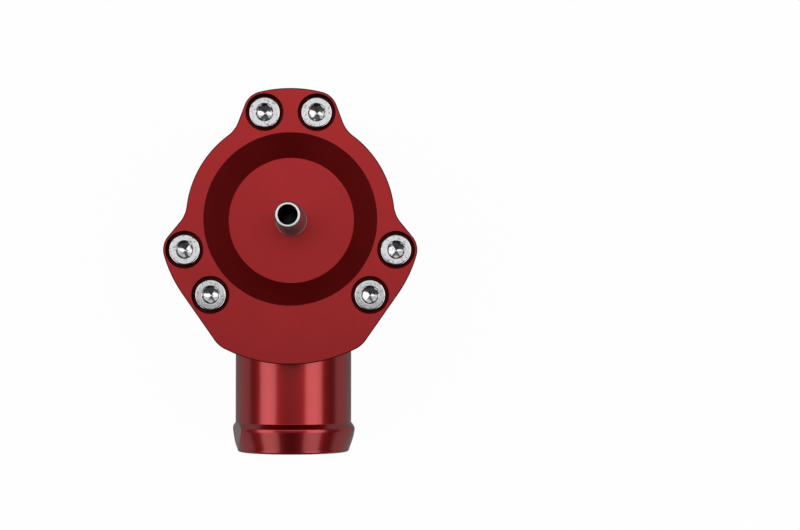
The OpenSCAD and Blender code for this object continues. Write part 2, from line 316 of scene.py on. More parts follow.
class ValveStage(bpy.types.PropertyGroup):
    """Floor, light and camera."""

    floor: FloatVectorProperty(
        name="Floor",
        description="Colour of the floor",
        default=(0.62, 0.62, 0.62),
        size=3,
        subtype="COLOR",
        min=0.0,
        max=1.0,
    )
    box_power: FloatProperty(
        name="Soft box power",
        description="Power of each of the two soft boxes at the sides",
        default=2.15,
        min=0.0,
        max=20.0,
        unit="POWER",
    )
    top_power: FloatProperty(
        name="Top light power",
        description="Power of the soft box overhead",
        default=1.40,
        min=0.0,
        max=10.0,
        unit="POWER",
    )
    lens: FloatProperty(
        name="Lens",
        description="Focal length of the camera",
        default=87.75,
        min=20.0,
        max=200.0,
        unit="CAMERA",
    )


class Value:
    """A shader socket in a Python expression: each operator adds one Math node."""

    def __init__(self, graph, socket):
        self.graph = graph
        self.socket = socket

    def math(self, operation, first, second=None):
        """The result of a Math node on one or two values or numbers."""
        sockets = {0: first}
        if second is not None:
            sockets[1] = second
        return self.graph.node("ShaderNodeMath", {"operation": operation}, sockets)

    def __add__(self, other):
        return self.math("ADD", self, other)

    __radd__ = __add__

    def __sub__(self, other):
        return self.math("SUBTRACT", self, other)

    def __rsub__(self, other):
        return self.math("SUBTRACT", other, self)

    def __mul__(self, other):
        return self.math("MULTIPLY", self, other)

    __rmul__ = __mul__

    def sine(self):
        """The sine of a value in radians."""
        return self.math("SINE", self)

    def most(self, other):
        """The larger of two values."""
        return self.math("MAXIMUM", self, other)


class Graph:
    """The nodes of one material or of the world."""

    def __init__(self, owner):
        owner.use_nodes = True
        self.tree = owner.node_tree
        self.tree.nodes.clear()

    def node(self, kind, settings=None, sockets=None, out=0):
        """Adds any node: its settings first, then the values or links of its sockets."""
        made = self.tree.nodes.new(kind)
        for name, value in (settings or {}).items():
            if name == "stops":
                self.set_stops(made.color_ramp, value)
            else:
                setattr(made, name, value)
        for key, value in (sockets or {}).items():
            if isinstance(value, Value):
                self.tree.links.new(value.socket, made.inputs[key])
            else:
                made.inputs[key].default_value = value
        return Value(self, made.outputs[out]) if made.outputs else made

    @staticmethod
    def set_stops(ramp, stops):
        """Gives a colour ramp its stops, each a place and a colour."""
        while len(ramp.elements) < len(stops):
            ramp.elements.new(1.0)
        for element, (place, colour) in zip(ramp.elements, stops):
            element.position = place
            element.color = colour

    def place(self):
        """The Object coordinates, in metres."""
        return self.node("ShaderNodeTexCoord", out="Object")

    def part(self, vector, axis):
        """The X, Y or Z of a vector."""
        return self.node("ShaderNodeSeparateXYZ", None, {0: vector}, out=axis)

    def dull(self):
        """The share from 0 to 1 of painted shade that a piece holds in its attribute."""
        return self.node("ShaderNodeAttribute", {"attribute_name": "dull"}, out="Fac")

    def noise(self, scale, detail, roughness=0.55):
        """Noise from 0 to 1 with the given number of features per metre."""
        return self.node(
            "ShaderNodeTexNoise",
            {"noise_dimensions": "3D"},
            {"Vector": self.place(), "Scale": scale, "Detail": detail, "Roughness": roughness},
        )

    def bands(self, along, scale, detail):
        """Noise from 0 to 1 that changes along one value only."""
        return self.node(
            "ShaderNodeTexNoise",
            {"noise_dimensions": "1D"},
            {"W": along, "Scale": scale, "Detail": detail},
        )

    def between(self, value, start, end):
        """Goes evenly from 0 at a start to 1 at an end, and no further."""
        return self.node("ShaderNodeMapRange", None, {0: value, 1: start, 2: end})

    def tint(self, share, first, second):
        """Mixes two colours by a share from 0 to 1.

        The colour sockets share their names with others on the node, so they go by number.
        """
        return self.node(
            "ShaderNodeMix",
            {"data_type": "RGBA"},
            {0: share, 6: first, 7: second},
            out=2,
        )

    def shades(self, share, colour, darkest, lightest):
        """Varies a colour between two gains by a share from 0 to 1."""
        return self.tint(share, opaque(colour, darkest), opaque(colour, lightest))

    def bump(self, height, strength, distance):
        """A normal from a height that goes from 0 to 1."""
        return self.node(
            "ShaderNodeBump",
            None,
            {"Strength": strength, "Distance": distance, "Height": height},
        )

    def surface(self, sockets):
        """Ends a material in a Principled shader."""
        shader = self.node("ShaderNodeBsdfPrincipled", None, sockets)
        self.node("ShaderNodeOutputMaterial", None, {"Surface": shader})


def opaque(colour, gain):
    """A colour with full alpha, brightened or darkened by a gain."""
    return (colour[0] * gain, colour[1] * gain, colour[2] * gain, 1.0)


def blasted_anodise(graph, finish):
    """Red dyed oxide on a fine blasted surface: cloudy colour, satin gloss, tiny grain.

    Where its painted shade share is 1 the red is darkened, which paints shade in the screw recesses and along
    upward chamfers, and it is rougher and less glossy.
    """
    cloud = graph.noise(90.0, 4.0)
    grain = graph.noise(3200.0, 2.0, 0.6)
    dull = graph.dull()
    red = finish.housing_red
    unshaded = graph.shades(cloud * 0.7 + grain * 0.3, red, 0.88, 1.12)
    graph.surface({
        # Painted shade: the red is darkened to 0.3 of itself where the painted shade share is 1.
        "Base Color": graph.tint(dull, unshaded, opaque(red, 0.30)),
        "Metallic": 1.0,
        "Specular Tint": (0.10, 0.03, 0.03, 1.0),
        "Roughness": 0.33 + cloud * 0.04 + grain * 0.06 + dull * 0.14,
        "Coat Weight": 0.44 - dull * 0.28,
        "Coat Roughness": 0.40,
        "Coat IOR": 1.6,
        "Normal": graph.bump(grain, 0.35, 0.012 * MM),
    })


def turned_anodise(graph, finish):
    """Red dyed oxide on a turned surface: fine rings along the tube, brighter gloss."""
    along = graph.part(graph.place(), "Y")
    drift = graph.noise(400.0, 2.0)
    ring_pitch = 0.24 * MM
    rings = (along * (FULL_TURN / ring_pitch) + drift * 3.0).sine() * 0.5 + 0.5
    streaks = graph.noise(60.0, 3.0)
    fine = graph.bands(along, 2600.0, 3.0)
    graph.surface({
        "Base Color": graph.shades(streaks * 0.8 + fine * 0.2, finish.tube_red, 0.88, 1.12),
        "Metallic": 1.0,
        "Specular Tint": (0.06, 0.02, 0.02, 1.0),
        "Roughness": 0.33 + fine * 0.02,
        "Coat Weight": 0.82,
        "Coat Roughness": 0.16,
        "Coat IOR": 1.65,
        "Normal": graph.bump(rings, 0.06, 0.003 * MM),
    })


def lathe_rings(graph):
    """Noise in fine rings from the lathe, along the run of a turned profile."""
    uv = graph.node("ShaderNodeUVMap", {"uv_map": "turned"})
    return graph.bands(graph.part(uv, "Y"), 9.0, 4.0)


def axis_distance(graph):
    """Distance from the valve axis, in metres."""
    in_plan = {0: graph.place(), 1: (1.0, 1.0, 0.0)}
    flat = graph.node("ShaderNodeVectorMath", {"operation": "MULTIPLY"}, in_plan)
    return graph.node("ShaderNodeVectorMath", {"operation": "LENGTH"}, {0: flat}, out="Value")


def nipple_steel(graph, finish):
    """Darker turned steel with a painted highlight, a near-white rim at the tip, and painted shade that colours
    the bore nearly black.
    """
    rings = lathe_rings(graph)
    cloud = graph.noise(700.0, 3.0)
    height = graph.part(graph.place(), "Z")
    tip = high("vacuum_nipple", 2) * MM
    mouth = NIPPLE_MOUTH_R * MM
    # Painted highlight: a near-white band at the tip's rim, also fully metallic and smoother.
    rim = graph.between(height, tip - 0.25 * MM, tip - 0.1 * MM)
    # Painted shade: the mouth's chamfer and the bore are coloured nearly black, and rougher.
    inside = graph.between(axis_distance(graph), mouth + 0.05 * MM, mouth - 0.03 * MM)
    side = graph.shades(cloud, finish.nipple, 0.88, 1.12)
    outside = graph.tint(rim, side, (0.97, 0.97, 0.97, 1.0))
    graph.surface({
        "Base Color": graph.tint(inside, outside, (0.03, 0.028, 0.028, 1.0)),
        "Metallic": 0.72 + rim * 0.28,
        "Roughness": 0.30 + rings * 0.10 - rim * 0.1 + inside * 0.20,
        "Normal": graph.bump(rings, 0.2, 0.006 * MM),
    })


def screw_steel(graph, finish):
    """Bright steel with fine rings from the lathe and small scuffs, with painted shade, nearly black, in the
    hexagon sockets and on the knurled sides of the heads.
    """
    rings = lathe_rings(graph)
    cloud = graph.noise(700.0, 3.0)
    wear = graph.noise(1400.0, 4.0, 0.6)
    scuffs = graph.between(wear, 0.54, 0.66)
    steel = finish.steel
    unshaded = graph.shades(cloud, steel, 0.94, 1.08)
    worn = graph.tint(scuffs * 0.8, unshaded, opaque(steel, 0.25))
    graph.surface({
        # Painted shade: the steel is darkened to 0.05 of itself in the sockets and on the knurled sides in the
        # recess gap.
        "Base Color": graph.tint(graph.dull(), worn, opaque(steel, 0.05)),
        "Metallic": 1.0,
        "Roughness": 0.06 + rings * 0.04 + cloud * 0.04,
        "Normal": graph.bump(rings * 0.5 + wear * 0.5, 0.3, 0.012 * MM),
    })


def turned_piston(graph, finish):
    """Clear turned metal: rings that follow the radius and the height about the valve axis."""
    height = graph.part(graph.place(), "Z")
    rings = graph.bands(axis_distance(graph) + height, 3000.0, 3.0)
    cloud = graph.noise(150.0, 3.0)
    graph.surface({
        "Base Color": graph.shades(cloud * 0.5 + rings * 0.5, finish.piston_metal, 0.88, 1.1),
        "Metallic": 1.0,
        "Roughness": 0.24 + rings * 0.14,
        "Normal": graph.bump(rings, 0.3, 0.006 * MM),
    })


def drawn_wire(graph, finish):
    """Drawn steel: matt, with streaks in the colour and small pits."""
    streaks = graph.noise(900.0, 4.0, 0.6)
    cloud = graph.noise(120.0, 3.0)
    graph.surface({
        "Base Color": graph.shades(streaks * 0.6 + cloud * 0.4, finish.wire, 0.75, 1.2),
        "Metallic": 1.0,
        "Roughness": 0.28 + streaks * 0.16,
        "Normal": graph.bump(streaks, 0.25, 0.01 * MM),
    })


def moulded_rubber(graph, finish):
    """Moulded rubber: nearly black, matt, with a dusty bloom and a fine grain."""
    bloom = graph.noise(260.0, 4.0)
    grain = graph.noise(4200.0, 2.0)
    graph.surface({
        "Base Color": graph.shades(bloom, finish.rubber, 0.7, 1.7),
        "Roughness": 0.5 + bloom * 0.2,
        "Specular IOR Level": 0.4,
        "Normal": graph.bump(grain, 0.25, 0.02 * MM),
    })


def bearing_plastic(graph, finish):
    """Bearing plastic: off white, waxy, with faint clouds."""
    cloud = graph.noise(300.0, 4.0)
    grain = graph.noise(3500.0, 2.0)
    graph.surface({
        "Base Color": graph.shades(cloud, finish.plastic, 0.9, 1.08),
        "Roughness": 0.38 + cloud * 0.14,
        "Normal": graph.bump(grain, 0.2, 0.01 * MM),
    })


# The materials made so far, by name.
MADE = {}


def finish_material(maker):
    """The material of a finish, made the first time that it is asked for and named after its maker."""
    name = maker.__name__
    if name not in MADE:
        MADE[name] = bpy.data.materials.new(name)
        maker(Graph(MADE[name]), bpy.context.scene.valve_finish)
    return MADE[name]


def rounded_profile(corners):
    """A profile as an array of (radius, height) pairs in millimetres.

    Each corner is (radius, height, rounding). A rounded corner becomes an arc that touches both of
    its sides: it starts and ends at rounding * tan(turn / 2) from the corner, and each of its points
    is the centre plus the rounding along a direction that turns evenly from one side's normal to
    the other's, in steps of ARC_STEP degrees. Tiny roundings have two steps. A point beside each end
    of an arc keeps the straight sides flat in shading.
    """
    tiny = 0.2
    beside = 0.15
    places = np.array([corner[:2] for corner in corners], float)
    rows = [places[:1]]
    for index in range(1, len(corners) - 1):
        rounding = corners[index][2]
        corner = places[index]
        into = corner - places[index - 1]
        out = places[index + 1] - corner
        into = into / np.linalg.norm(into)
        out = out / np.linalg.norm(out)
        turn = math.acos(float(np.clip(into @ out, -1.0, 1.0)))
        if rounding <= 0 or turn < 1e-6:
            rows.append(corner[None])
            continue
        reach = rounding * math.tan(turn / 2)
        start = corner - into * reach
        side = math.copysign(1.0, into[0] * out[1] - into[1] * out[0])
        normal = side * np.array([-into[1], into[0]])
        centre = start + normal * rounding
        steps = 2 if rounding < tiny else math.ceil(math.degrees(turn) / ARC_STEP)
        swing = side * turn * np.linspace(0.0, 1.0, steps + 1)
        arm = -normal * rounding
        arc = np.stack([
            centre[0] + arm[0] * np.cos(swing) - arm[1] * np.sin(swing),
            centre[1] + arm[0] * np.sin(swing) + arm[1] * np.cos(swing),
        ], axis=1)
        support = rounding * beside
        rows.append((start - into * support)[None])
        rows.append(arc)
        rows.append((corner + out * (reach + support))[None])
    rows.append(places[-1:])
    return np.concatenate(rows)


def divided(profile, first, last, step):
    """The profile with its hops between two heights divided evenly.

    Each new hop is at most the step long, in millimetres.
    """
    here = profile[:-1]
    hop = np.diff(profile, axis=0)
    lowest = np.minimum(profile[:-1, 1], profile[1:, 1])
    highest = np.maximum(profile[:-1, 1], profile[1:, 1])
    inside = (lowest > first) & (highest < last)
    parts = np.where(inside, np.ceil(np.linalg.norm(hop, axis=1) / step), 1).astype(int)
    before = np.repeat(np.cumsum(parts) - parts, parts)
    share = (np.arange(parts.sum()) - before + 1) / np.repeat(parts, parts)
    steps = np.repeat(here, parts, axis=0) + np.repeat(hop, parts, axis=0) * share[:, None]
    return np.concatenate([profile[:1], steps])


def run_length(profile):
    """Length along a profile from its first point to each point, in millimetres."""
    hops = np.linalg.norm(np.diff(profile, axis=0), axis=1)
    return np.concatenate([[0.0], np.cumsum(hops)])


def angles(columns):
    """Evenly spaced angles once around, without the last that repeats the first."""
    return np.linspace(0.0, FULL_TURN, columns, endpoint=False)


def about_axis(radius, turn, height):
    """A grid of points about the valve axis: (radius * cos turn, radius * sin turn, height)."""
    axes = np.broadcast_arrays(radius * np.cos(turn), radius * np.sin(turn), height)
    return np.stack(axes, axis=-1)


def grid_faces(rows, columns, wrap_rows):
    """Quads of a grid whose columns close on themselves, and whose rows do where asked."""
    down = np.arange(rows if wrap_rows else rows - 1)
    across = np.arange(columns)
    here, beside = np.meshgrid(down, across, indexing="ij")
    below = (here + 1) % rows
    right = (beside + 1) % columns
    quads = np.stack([
        here * columns + beside,
        here * columns + right,
        below * columns + right,
        below * columns + beside,
    ], axis=-1)
    return quads.reshape(-1, 4)


def add_object(name, data):
    """A new object in the scene, at the origin."""
    made = bpy.data.objects.new(name, data)
    bpy.context.scene.collection.objects.link(made)
    return made


def piece_from_grids(name, grids, wrap_rows=False, run=None, smooth_angle=GRID_SMOOTH, dull=None):
    """A mesh object from grids of points in millimetres, each an array of rows, columns and x, y, z.

    The UV map "turned" holds the share of the turn across and the run along the profile in
    millimetres. The painted shade attribute holds a share of painted shade for each row, where one is given.
    Doubled points at poles are merged and the faces are turned outwards.
    """
    rows, columns, _ = grids[0].shape
    quads = grid_faces(rows, columns, wrap_rows)
    points = np.concatenate([grid.reshape(-1, 3) for grid in grids]) * MM
    faces = np.concatenate([quads + index * rows * columns for index in range(len(grids))])
    mesh = bpy.data.meshes.new(name)
    mesh.from_pydata(points, [], faces)
    if run is not None:
        layer = mesh.uv_layers.new(name="turned")
        corner_rows = (faces % (rows * columns)) // columns
        corner_columns = (faces % columns).astype(float)
        last = corner_columns[:, 0] == columns - 1
        corner_columns[last, 1:3] = columns
        uv = np.stack([corner_columns / columns, np.asarray(run)[corner_rows]], axis=-1)
        layer.data.foreach_set("uv", uv.astype(np.float32).ravel())
    if dull is not None:
        shares = np.tile(np.repeat(dull, columns), len(grids))
        attribute = mesh.attributes.new("dull", "FLOAT", "POINT")
        attribute.data.foreach_set("value", shares.astype(np.float32))
    tidy_mesh(mesh, smooth_angle)
    return add_object(name, mesh)


def shade_smooth(work, limit):
    """Shades every face smooth, with breaks at edges that turn by more than a limit in degrees."""
    work.normal_update()
    for face in work.faces:
        face.smooth = True
    for line in work.edges:
        line.smooth = line.calc_face_angle(math.pi) < math.radians(limit)


def tidy_mesh(mesh, smooth_angle):
    """Merges doubled points, turns the faces outwards and shades smooth below an angle."""
    work = bmesh.new()
    work.from_mesh(mesh)
    bmesh.ops.remove_doubles(work, verts=work.verts, dist=GRID_WELD)
    bmesh.ops.dissolve_degenerate(work, edges=work.edges, dist=GRID_SLIVER)
    bmesh.ops.recalc_face_normals(work, faces=work.faces)
    shade_smooth(work, smooth_angle)
    work.to_mesh(mesh)
    work.free()


def settle(piece, body, node, maker):
    """Gives a piece its finish and its body, and hides the CAD node that it stands for."""
    piece.data.materials.clear()
    piece.data.materials.append(finish_material(maker))
    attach(piece, body)
    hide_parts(node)


def screw_place(lobe, side):
    """Middle of a screw in plan, in millimetres: half the pair's angle to one side of its lobe."""
    around = math.radians(lobe) + side * bpy.context.scene.valve_sizes.pair_half_angle
    return np.array([math.cos(around), math.sin(around)]) * SCREW_CIRCLE_R


def in_recess(part, middles):
    """Tells if a line or a face lies in one of the recesses for the screw heads, or on its rim."""
    places = np.array([vert.co[:2] for vert in part.verts]) / MM
    apart = np.linalg.norm(places[:, None] - middles[None], axis=2).max(axis=0)
    return apart.min() < RECESS_REACH


def machined_copy(node, name, edge):
    """A merged copy of a CAD node whose flat faces are whole and whose edges have a small chamfer.

    The chamfer's width is in metres, and none is cut where it is 0. The edges of the screw recesses
    stay sharp. The painted shade attribute has one share of painted shade on the faces inside them,
    another on chamfers that face up, and is 0 elsewhere.
    """
    middles = np.array([screw_place(lobe, side) for lobe in LOBE_ANGLES for side in (-1, 1)])
    mesh = frame["nodes"][node].data.copy()
    mesh.name = name
    work = bmesh.new()
    work.from_mesh(mesh)
    dull = work.faces.layers.float.new("dull")
    bmesh.ops.remove_doubles(work, verts=work.verts, dist=CAD_WELD)
    flat_limit = math.radians(FLAT_TURN)
    bmesh.ops.dissolve_limit(work, angle_limit=flat_limit, verts=work.verts, edges=work.edges)
    chamfers = set()
    if edge:
        square_limit = math.radians(SQUARE_TURN)
        square = [line for line in work.edges if line.calc_face_angle(0.0) > square_limit]
        made = bmesh.ops.bevel(
            work,
            geom=[line for line in square if not in_recess(line, middles)],
            offset=edge,
            offset_type="OFFSET",
            segments=bpy.context.scene.valve_sizes.edge_steps,
            profile=0.5,
            affect="EDGES",
            clamp_overlap=True,
        )
        chamfers.update(made["faces"])
    bmesh.ops.dissolve_degenerate(work, edges=work.edges, dist=CAD_WELD)
    shade_smooth(work, MACHINED_SMOOTH)
    for face in work.faces:
        # Painted shade goes on the faces in the screw recesses and on the chamfers that face up.
        rim = CHAMFER_PAINTED_SHADE if face in chamfers and face.normal.z > FACING_UP else 0.0
        face[dull] = RECESS_PAINTED_SHADE if in_recess(face, middles) else rim
    work.to_mesh(mesh)
    work.free()
    return add_object(name, mesh)


class VALVE_OT_housing(bpy.types.Operator):
    """Makes the cap and the body as machined pieces with small chamfers on their edges"""

    bl_idname = "valve.housing"
    bl_label = "Housing"

    def execute(self, context):
        edge = context.scene.valve_sizes.edge
        for node in ("cap", "valve_body"):
            piece = machined_copy(node, node + "_machined", edge)
            settle(piece, "housing", node, blasted_anodise)
        return {"FINISHED"}


def tube_surface(sizes):
    """The outlet tube: a closed profile turned about the tube's axis, with two wrench flats.

    A point is (radius * sin a, -run, outlet height + radius * cos a). On the bead the radius is the
    smaller of the profile's and half the width across the flats over the cosine of the angle from a
    flat's middle, so both flats come out plane.
    """
    start = -high("outlet_tube", 1)
    end = -low("outlet_tube", 1)
    middle = (start + end) / 2
    bore = MOUNTS["outlet_bore"]["dims"]["r_mm"]
    outside = 16.2
    bead = 17.6
    lead = 15.7
    bead_length = 8.2
    bead_round = sizes.bead_round / MM
    step = end - bead_length
    groove_r = outside - 1.2
    groove_start = start + 2.0
    groove_end = groove_start + 1.8
    profile = rounded_profile([
        (bore, middle, 0.0),
        (bore, start, 0.15),
        (outside, start, 0.3),
        (outside, groove_start, 0.1),
        (groove_r, groove_start, 0.1),
        (groove_r, groove_end, 0.1),
        (outside, groove_end, 0.1),
        (outside, step, 0.2),
        (bead, step + 1.3, bead_round),
        (bead, step + 2.1, bead_round),
        (lead, end - 0.9, 0.4),
        (lead - 0.1, end, 0.8),
        (bore, end, 0.35),
        (bore, middle, 0.0),
    ])[:-1]
    profile = divided(profile, step - 0.5, end - 0.3, 0.2)
    turn = angles(480)
    flat_middle = math.pi / 2 + sizes.flats_turn
    from_flat = np.abs(np.cos(turn - flat_middle))
    flat = sizes.flats / MM / 2 / np.maximum(from_flat, 1e-6)
    # The flats cut the bead and its lead, and leave the bore alone.
    on_bead = (profile[:, 1:] > step - 0.01) & (profile[:, :1] > bore + 0.6)
    radius = np.where(on_bead, np.minimum(profile[:, :1], flat), profile[:, :1])
    points = np.stack([
        radius * np.sin(turn),
        np.broadcast_to(-profile[:, 1:], radius.shape),
        OUTLET_Z + radius * np.cos(turn),
    ], axis=-1)
    return points, run_length(profile)


class VALVE_OT_outlet_tube(bpy.types.Operator):
    """Turns the outlet tube with its bead and wrench flats"""

    bl_idname = "valve.outlet_tube"
    bl_label = "Outlet tube"

    def execute(self, context):
        points, run = tube_surface(context.scene.valve_sizes)
        piece = piece_from_grids(
            "outlet_tube_turned", [points], wrap_rows=True, run=run, smooth_angle=TUBE_SMOOTH
        )
        settle(piece, "housing", "outlet_tube", turned_anodise)
        return {"FINISHED"}


def nipple_surface():
    """The vacuum nipple: a closed profile turned about the valve axis, (r cos a, r sin a, z)."""
    foot = low("vacuum_nipple", 2)
    tip = high("vacuum_nipple", 2)
    middle = (foot + tip) / 2
    seat = foot + 3.5
    barb = tip - 1.6
    profile = rounded_profile([
        (NIPPLE_BORE_R, middle, 0.0),
        (NIPPLE_BORE_R, foot, 0.1),
        (NIPPLE_STEM_R, foot, 0.2),
        (NIPPLE_STEM_R, seat, 0.05),
        (NIPPLE_COLLAR_R, seat, 0.1),
        (NIPPLE_COLLAR_R, seat + 1.2, 0.15),
        (NIPPLE_COLLAR_R - 0.2, seat + 1.3, 0.08),
        (NIPPLE_STEM_R, seat + 11.2, 2.0),
        (NIPPLE_STEM_R, barb - 0.6, 0.2),
        (NIPPLE_STEM_R + 0.6, barb, 0.3),
        (NIPPLE_STEM_R + 0.15, tip, 0.15),
        (NIPPLE_MOUTH_R, tip, 0.1),
        (NIPPLE_BORE_R, tip - 5.0, 2.0),
        (NIPPLE_BORE_R, middle, 0.0),
    ])[:-1]
    return about_axis(profile[:, :1], angles(120), profile[:, 1:]), run_length(profile)


class VALVE_OT_nipple(bpy.types.Operator):
    """Turns the vacuum nipple with its barb and collar"""

    bl_idname = "valve.nipple"
    bl_label = "Vacuum nipple"

    def execute(self, context):
        points, run = nipple_surface()
        piece = piece_from_grids("nipple_turned", [points], wrap_rows=True, run=run)
        settle(piece, "housing", "vacuum_nipple", nipple_steel)
        return {"FINISHED"}


def screw_surface(sizes, length, thread):
    """A socket head screw about Z with the seat of its head at z = 0, as one closed surface.

    Its profile runs from the point of the drilled cone in the socket over the head and the shank to
    the end. In the socket the radius is that of a hexagon, half its width over the cosine of the
    angle from the nearest flat's middle. On the head's side it dips by the knurl's depth in a
    triangle wave around. On the thread it is a clipped triangle wave of the height less the pitch
    times the share of the turn. The rows of the socket are given as radius, height and a share of
    painted shade, which darkens the socket walls where shade falls.
    """
    turn = angles(120)
    circle = np.ones_like(turn)
    sixth = FULL_TURN / 6
    hexagon_half = 2.0
    hexagon = hexagon_half / np.cos((turn + sixth / 2) % sixth - sixth / 2)
    socket = HEAD_H - 2.5
    mouth = 2.42
    # The third number of each row is its share of painted shade: most on the hexagon's walls, less towards the
    # mouth, none on the drilled cone.
    socket_rows = [
        (circle * 0.0, socket - 0.7, 0.0),
        (circle * 0.35, socket - 0.57, 0.0),
        (circle * 1.9, socket, 0.1),
        (hexagon, socket + 0.03, 1.0),
        (hexagon, (socket + HEAD_H) / 2, 1.0),
        (hexagon, HEAD_H - 0.32, 1.0),
        (hexagon + 0.02, HEAD_H - 0.26, 0.7),
        (np.maximum(hexagon + 0.06, mouth - 0.06), HEAD_H - 0.05, 0.3),
        (circle * (mouth + 0.03), HEAD_H, 0.0),
    ]
    inner_r, inner_z, inner_painted_shade = (np.array(column) for column in zip(*socket_rows))
    fillet = 0.25
    head = rounded_profile([
        (2.6, HEAD_H, 0.0),
        (HEAD_R, HEAD_H, 0.5),
        (HEAD_R, HEAD_H / 2, 0.0),
        (HEAD_R, 0.0, 0.2),
        (SHANK_R + fillet, 0.0, 0.0),
        (SHANK_R, -fillet, 0.0),
    ])
    pitch = sizes.thread_pitch / MM
    chamfer = 0.6
    last = chamfer - length
    plain = thread - length if thread else last
    full = THREAD_R if thread else SHANK_R
    shaft = np.concatenate([
        np.linspace(-0.6, plain, 6),
        np.linspace(plain, last, max(int(thread * ROWS_PER_PITCH / pitch), 1))[1:],
    ])
    shaft_r = np.where(shaft < plain - 1e-6, full, SHANK_R)
    end_r = [full - chamfer / 2, full - chamfer, 0.0]
    end_z = [chamfer / 2 - length, -length, -length]
    body_r = np.concatenate([head[:, 0], shaft_r, end_r])
    body_z = np.concatenate([head[:, 1], shaft, end_z])
    radius = np.repeat(body_r[:, None], len(turn), axis=1)
    side = (body_z > 0.3) & (body_z < HEAD_H - 0.45) & (body_r > HEAD_R - 0.01)
    wave = np.abs(np.arange(len(turn)) % COLUMNS_PER_TOOTH - 1.0)
    knurl = sizes.knurl_depth / MM * (1 - wave)
    radius = np.where(side[:, None], radius - knurl, radius)
    if thread:
        depth = 0.613 * pitch
        slope = 1.3
        crest = 0.12
        phase = body_z[:, None] / pitch - turn / FULL_TURN
        tooth = np.abs(phase % 1.0 - 0.5) * 2
        dip = np.clip(tooth * slope - crest, 0.0, 1.0) * depth
        fade = np.clip((plain - body_z) / pitch, 0.0, 1.0)
        on_shank = (body_z < plain) & (body_z > 0.05 - length)
        radius = np.where(on_shank[:, None], np.minimum(radius, full - dip * fade[:, None]), radius)
    radius = np.concatenate([inner_r, radius])
    height = np.concatenate([inner_z, body_z])
    # Painted shade on the socket walls and on the knurled side of the head, which sits in the recess.
    dull = np.concatenate([inner_painted_shade, np.where(side, KNURL_PAINTED_SHADE, 0.0)])
    run = run_length(np.stack([radius.mean(axis=1), height], axis=1))
    return about_axis(radius, turn, height[:, None]), run, dull


class VALVE_OT_screws(bpy.types.Operator):
    """Makes the short cap screws and the long mount screws"""

    bl_idname = "valve.screws"
    bl_label = "Screws"

    def execute(self, context):
        sizes = context.scene.valve_sizes
        seat = high("cap_screws", 2) - HEAD_H
        kinds = (
            ("cap_screws", "cap_screws_bright", -1, 0.0),
            ("mount_screws", "mount_screws_bright", 1, sizes.thread_length / MM),
        )
        for node, name, side, thread in kinds:
            points, run, dull = screw_surface(sizes, seat - low(node, 2), thread)
            grids = []
            for index, lobe in enumerate(LOBE_ANGLES):
                twist = FIRST_TWIST + index * LOBE_TWIST + side * SIDE_TWIST
                turned = np.array([
                    [math.cos(twist), -math.sin(twist), 0.0],
                    [math.sin(twist), math.cos(twist), 0.0],
                    [0.0, 0.0, 1.0],
                ])
                grids.append(points @ turned.T + np.append(screw_place(lobe, side), seat))
            piece = piece_from_grids(name, grids, run=run, dull=dull)
            settle(piece, "housing", node, screw_steel)
        return {"FINISHED"}


def spring_surface(sizes):
    """The spring: a round wire carried along a helix with closed ends that are ground flat.

    The wire's middle rises slowly in the first and the last turn and evenly between them. A point is
    the coil radius plus the wire's radius times cos b, outwards, at the wire's height plus its radius
    times sin b, held between the two flat ends. The first and the last row shrink to a point.
    """
    bottom = low("spring", 2)
    length = high("spring", 2) - bottom
    wire = sizes.wire / MM
    coil = high("spring", 0) - wire / 2
    turns = sizes.spring_turns
    first = wire * 0.3
    closed = wire * 1.06
    pitch = (length - 2 * (first + closed)) / (turns - 2)
    place = np.linspace(0.0, turns, int(turns * ROWS_PER_COIL) + 1)
    height = np.where(
        place < 1,
        first + closed * place,
        np.where(
            place < turns - 1,
            first + closed + pitch * (place - 1),
            length - first - closed * (turns - place),
        ),
    )
    place = np.concatenate([place[:1], place, place[-1:]])[:, None]
    height = np.concatenate([height[:1], height, height[-1:]])[:, None]
    size = np.full_like(place, wire / 2)
    size[0] = 0.0
    size[-1] = 0.0
    around = angles(20)[None]
    radius = coil + size * np.cos(around)
    level = np.clip(height + size * np.sin(around), 0.0, length)
    turn = FULL_TURN * place
    return about_axis(radius, turn, bottom + level), turn[:, 0] * coil


class VALVE_OT_spring(bpy.types.Operator):
    """Winds the spring and makes its shim"""

    bl_idname = "valve.spring"
    bl_label = "Spring"

    def execute(self, context):
        points, run = spring_surface(context.scene.valve_sizes)
        piece = piece_from_grids("spring_wound", [points], run=run)
        settle(piece, "housing", "spring", drawn_wire)
        length = high("spring", 2) - low("spring", 2)
        keep = (length - LIFT["range_m"][1] / MM) / length
        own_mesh(piece)
        shim = machined_copy("spring_shim", "spring_shim_flat", SHIM_EDGE)
        settle(shim, "housing", "spring_shim", drawn_wire)
        return {"FINISHED"}


class VALVE_OT_piston(bpy.types.Operator):
    """Makes the piston as a turned piece with its plastic guide ring"""

    bl_idname = "valve.piston"
    bl_label = "Piston"

    def execute(self, context):
        piston = machined_copy("piston", "piston_turned", PISTON_EDGE)
        settle(piston, "piston", "piston", turned_piston)
        guide = machined_copy("piston_guide_ring", "guide_ring_moulded", MOULDED_EDGE)
        settle(guide, "piston", "piston_guide_ring", bearing_plastic)
        return {"FINISHED"}


class VALVE_OT_seals(bpy.types.Operator):
    """Makes the rubber rings that seal the cap, the base, the tube and the piston"""

    bl_idname = "valve.seals"
    bl_label = "Seals"

    def execute(self, context):
        bodies = RECORD["behaviour"]["bodies"]
        for node in ("cap_o_ring", "base_o_ring", "outlet_o_ring", "piston_o_ring", "seat_seal"):
            body = next(name for name, members in bodies.items() if node in members)
            edge = MOULDED_EDGE if node == "seat_seal" else 0.0
            piece = machined_copy(node, node + "_moulded", edge)
            settle(piece, body, node, moulded_rubber)
        return {"FINISHED"}


